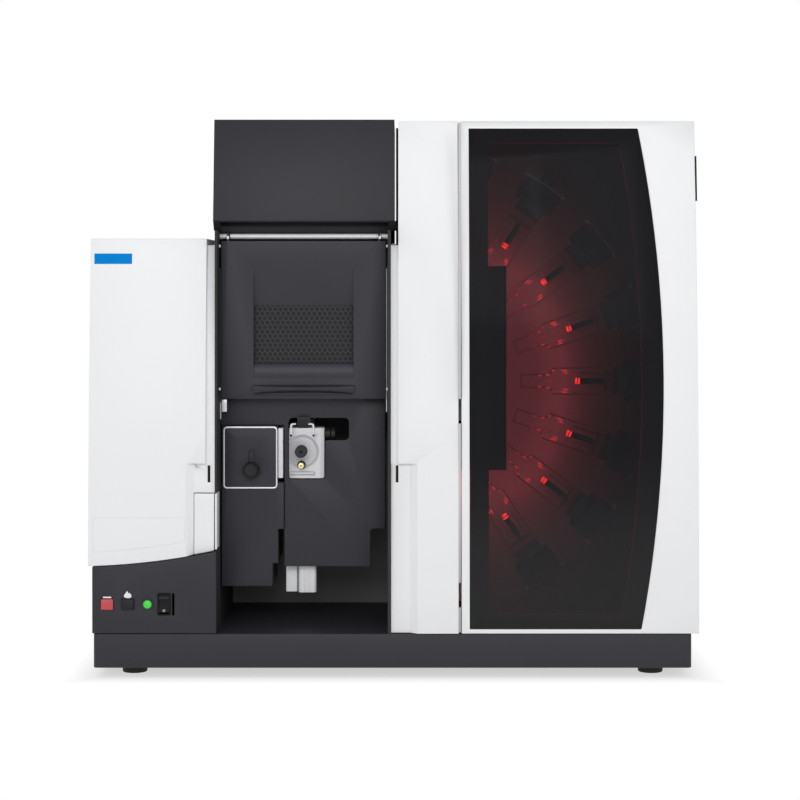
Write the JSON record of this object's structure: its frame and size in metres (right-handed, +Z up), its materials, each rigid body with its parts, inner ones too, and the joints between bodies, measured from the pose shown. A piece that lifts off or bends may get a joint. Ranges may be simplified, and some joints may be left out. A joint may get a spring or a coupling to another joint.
{
  "type": "atomic absorption spectrophotometer",
  "caption": "Bench absorption spectrophotometer with an open burner compartment, swinging flame shield, exhaust hood, control panel and a tall lamp bay behind a tinted door.",
  "frame": {"origin": "centre of the footprint on the bench, under the feet", "axes": "+X to the right as the user faces it, +Y to the back, +Z up"},
  "size_m": [0.792, 0.58, 0.726],
  "materials": {
    "white_cover": "satin white moulded cover",
    "white_sheet": "white powder coat",
    "charcoal_base": "fine-textured charcoal powder coat",
    "rubber": "black rubber",
    "dark_panel": "fine-textured charcoal",
    "red_plastic": "red button",
    "black_plastic": "black",
    "green_lens": "translucent green lens",
    "blue_badge": "plain blue plate",
    "smoked_pane": "smoked transparent pane",
    "clear_glass": "clear glass",
    "dark_sheet": "dark grey powder coat",
    "bright_steel": "bright steel",
    "mesh": "dark pierced steel",
    "zinc_steel": "zinc-plated steel",
    "aluminium": "machined aluminium",
    "silver_plastic": "silver-grey satin plastic",
    "lamp_base": "pale moulded base",
    "brass": "machined brass",
    "mirror": "front-coated mirror",
    "supply_case": "folded steel case"
  },
  "bodies": {
    "cabinet": {"base_tray": "charcoal_base", "bottom_plate": "charcoal_base", "rubber_feet": "rubber", "left_cover": "white_cover", "corner_cover": "white_cover", "centre_cover": "white_cover", "control_panel": "dark_panel", "button_switches": "black_plastic", "status_lens": "green_lens", "rocker_housing": "dark_panel", "badge_plate": "blue_badge", "left_wall": "dark_sheet", "right_wall": "dark_sheet", "back_wall": "dark_sheet", "beam_windows": "clear_glass", "rear_cover": "white_sheet", "rear_panel": "white_sheet", "tower_cover": "white_sheet", "hinge_post": "zinc_steel", "hinge_pins": "bright_steel", "lamp_holders": "black_plastic", "lamp_bases": "lamp_base", "lamp_envelopes": "clear_glass", "lamp_electrodes": "aluminium", "lamp_plate": "dark_sheet", "mirror_shroud": "zinc_steel", "mirror_motor": "aluminium", "fold_mirror": "aluminium", "hood": "dark_sheet", "shield_rod": "bright_steel", "stop_pins": "bright_steel", "shield_rails": "dark_sheet", "burner_panel": "dark_sheet", "gas_cover": "dark_sheet", "adjuster_frame": "aluminium", "oxidant_block": "silver_plastic", "monochromator": "aluminium", "power_supply": "supply_case", "mains_inlet": "black_plastic", "gas_inlets": "brass"},
    "lamp_door": {"door_frame": "white_cover", "door_grip": "black_plastic", "door_window": "smoked_pane", "hinge_arms": "zinc_steel"},
    "shield": {"flame_shield": "dark_sheet", "shield_mesh": "mesh"},
    "flame_off_button": {"flame_off_button": "red_plastic"},
    "ignite_button": {"ignite_button": "black_plastic"},
    "power_rocker": {"power_rocker": "black_plastic"},
    "adjuster": {"adjuster_slider": "zinc_steel"},
    "adjuster_knob": {"adjuster_knob": "black_plastic"},
    "burner": {"spray_chamber": "silver_plastic", "burner_head": "bright_steel", "drain_trap": "silver_plastic", "nebulizer_fitting": "brass"},
    "nebulizer_knob": {"nebulizer_knob": "black_plastic"},
    "left_clip": {"left_clip": "bright_steel"},
    "right_clip": {"right_clip": "bright_steel"},
    "lock_knob": {"lock_knob": "black_plastic"},
    "selector_mirror": {"selector_mirror": "mirror"}
  },
  "joints": [
    {"name": "lamp_door_hinge", "type": "hinge", "parent": "cabinet", "child": "lamp_door", "pos_m": [0.06, -0.268, 0.2], "axis": [0, 0, -1], "range_deg": [0, 100]},
    {"name": "flame_shield_hinge", "type": "hinge", "parent": "cabinet", "child": "shield", "pos_m": [-0.1193, -0.236, 0.5724], "axis": [-1, 0, 0], "range_deg": [0, 90]},
    {"name": "flame_off_press", "type": "slide", "parent": "cabinet", "child": "flame_off_button", "axis": [0, 1, 0], "range_m": [0, 0.002], "stiffness_N_per_m": 400, "springref_m": -0.0005},
    {"name": "ignite_press", "type": "slide", "parent": "cabinet", "child": "ignite_button", "axis": [0, 1, 0], "range_m": [0, 0.002], "stiffness_N_per_m": 400, "springref_m": -0.0005},
    {"name": "power_rocker_tilt", "type": "hinge", "parent": "cabinet", "child": "power_rocker", "pos_m": [-0.2978, -0.281, 0.0956], "axis": [1, 0, 0], "range_deg": [0, 16]},
    {"name": "burner_lift", "type": "slide", "parent": "cabinet", "child": "burner", "axis": [0, 0, 1], "range_m": [0, 0.009]},
    {"name": "adjuster_slide", "type": "slide", "parent": "cabinet", "child": "adjuster", "axis": [0, 0, 1], "range_m": [0, 0.022]},
    {"name": "adjuster_turn", "type": "hinge", "parent": "adjuster", "child": "adjuster_knob", "pos_m": [-0.1889, -0.23, 0.2646], "axis": [0, 1, 0], "range_deg": [0, 270]},
    {"name": "nebulizer_turn", "type": "hinge", "parent": "burner", "child": "nebulizer_knob", "pos_m": [-0.1227, -0.24, 0.2894], "axis": [0, 1, 0], "continuous": true},
    {"name": "left_clip_swing", "type": "hinge", "parent": "burner", "child": "left_clip", "pos_m": [-0.1361, -0.2313, 0.3106], "axis": [0, -1, 0], "range_deg": [0, 70]},
    {"name": "right_clip_swing", "type": "hinge", "parent": "burner", "child": "right_clip", "pos_m": [-0.1076, -0.2313, 0.3106], "axis": [0, 1, 0], "range_deg": [0, 70]},
    {"name": "lock_turn", "type": "hinge", "parent": "burner", "child": "lock_knob", "pos_m": [-0.0854, -0.214, 0.311], "axis": [1, 0, 0], "range_deg": [0, 180]},
    {"name": "selector_mirror_turn", "type": "hinge", "parent": "cabinet", "child": "selector_mirror", "pos_m": [0.0277, -0.182, 0.379], "axis": [0, -1, 0], "range_deg": [-56.4, 75.2]}
  ],
  "couplings": [
    {"joint": "adjuster_slide", "follows": "burner_lift", "ratio": 2.4444}
  ]
}
